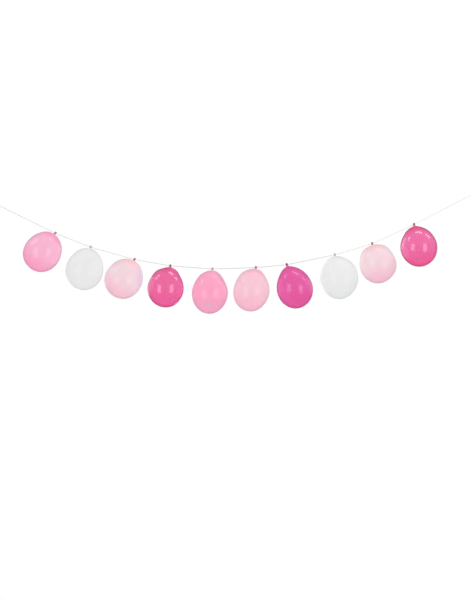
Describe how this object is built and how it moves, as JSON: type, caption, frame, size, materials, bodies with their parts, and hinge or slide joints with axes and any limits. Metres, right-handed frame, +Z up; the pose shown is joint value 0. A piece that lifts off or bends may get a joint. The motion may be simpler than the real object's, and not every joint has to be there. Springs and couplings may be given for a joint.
{
  "type": "balloon garland",
  "caption": "Party garland of small knotted latex balloons in pinks and white, threaded by their tails on a sagging cotton twine with a tied loop at each end.",
  "frame": {"origin": "inside the far end of the left loop, where the hook or nail that holds it bears", "axes": "+X along the garland from its left loop to its right loop, +Y away from the side it is looked at from, +Z up"},
  "size_m": [1.53, 0.1168, 0.3897],
  "materials": {
    "latex_pink": "satin latex",
    "latex_white": "satin latex",
    "latex_pearl_pink": "pearl latex with a faint lilac sheen",
    "latex_hot_pink": "glossy latex",
    "latex_bubblegum": "satin latex",
    "latex_light_pink": "satin latex",
    "latex_magenta": "glossy latex",
    "cotton_twine": "twisted, matte"
  },
  "bodies": {
    "root": {"balloon_01_pink": "latex_pink", "balloon_02_white": "latex_white", "balloon_03_pearl_pink": "latex_pearl_pink", "balloon_04_hot_pink": "latex_hot_pink", "balloon_05_bubblegum": "latex_bubblegum", "balloon_06_light_pink": "latex_light_pink", "balloon_07_magenta": "latex_magenta", "balloon_08_white": "latex_white", "balloon_09_pearl_pink": "latex_pearl_pink", "balloon_10_hot_pink": "latex_hot_pink", "twine": "cotton_twine"}
  },
  "joints": []
}
